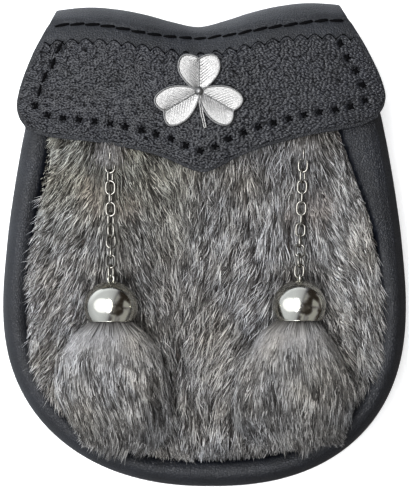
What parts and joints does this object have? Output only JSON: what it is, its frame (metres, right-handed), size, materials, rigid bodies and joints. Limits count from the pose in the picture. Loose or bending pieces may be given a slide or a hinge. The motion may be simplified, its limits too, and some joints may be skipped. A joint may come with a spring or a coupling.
{
  "type": "sporran pouch",
  "caption": "Leather belt pouch with a fur front, folded flap with a cast shamrock, and fur tassels in metal bells on short chains.",
  "frame": {"origin": "middle of the back's underside, at the bottom centre of the whole box", "axes": "+X to the wearer's left as seen from the front (right in the picture), +Y towards the flap's fold, +Z out of the front"},
  "size_m": [0.1802, 0.2152, 0.0569],
  "materials": {
    "smooth_leather": "smooth black, semi-gloss",
    "pebbled_leather": "pebbled black",
    "black_stud": "satin black",
    "grey_fur": "grizzled grey rabbit fur",
    "chrome": "polished",
    "cast_silver": "bright cast white metal"
  },
  "bodies": {
    "root": {"back_panel": "smooth_leather", "bell_left": "chrome", "bell_right": "chrome", "chain_anchor_left": "chrome", "chain_anchor_right": "chrome", "flap": "smooth_leather", "flap_overlay": "pebbled_leather", "fur_panel": "grey_fur", "fur_tassel_left": "grey_fur", "fur_tassel_right": "grey_fur", "gusset_border": "smooth_leather", "link_left_01": "chrome", "link_left_02": "chrome", "link_left_03": "chrome", "link_left_04": "chrome", "link_left_05": "chrome", "link_left_06": "chrome", "link_left_07": "chrome", "link_left_08": "chrome", "link_left_09": "chrome", "link_left_10": "chrome", "link_left_11": "chrome", "link_left_12": "chrome", "link_right_01": "chrome", "link_right_02": "chrome", "link_right_03": "chrome", "link_right_04": "chrome", "link_right_05": "chrome", "link_right_06": "chrome", "link_right_07": "chrome", "link_right_08": "chrome", "link_right_09": "chrome", "link_right_10": "chrome", "link_right_11": "chrome", "link_right_12": "chrome", "press_stud": "black_stud", "shamrock_badge": "cast_silver"}
  },
  "joints": []
}
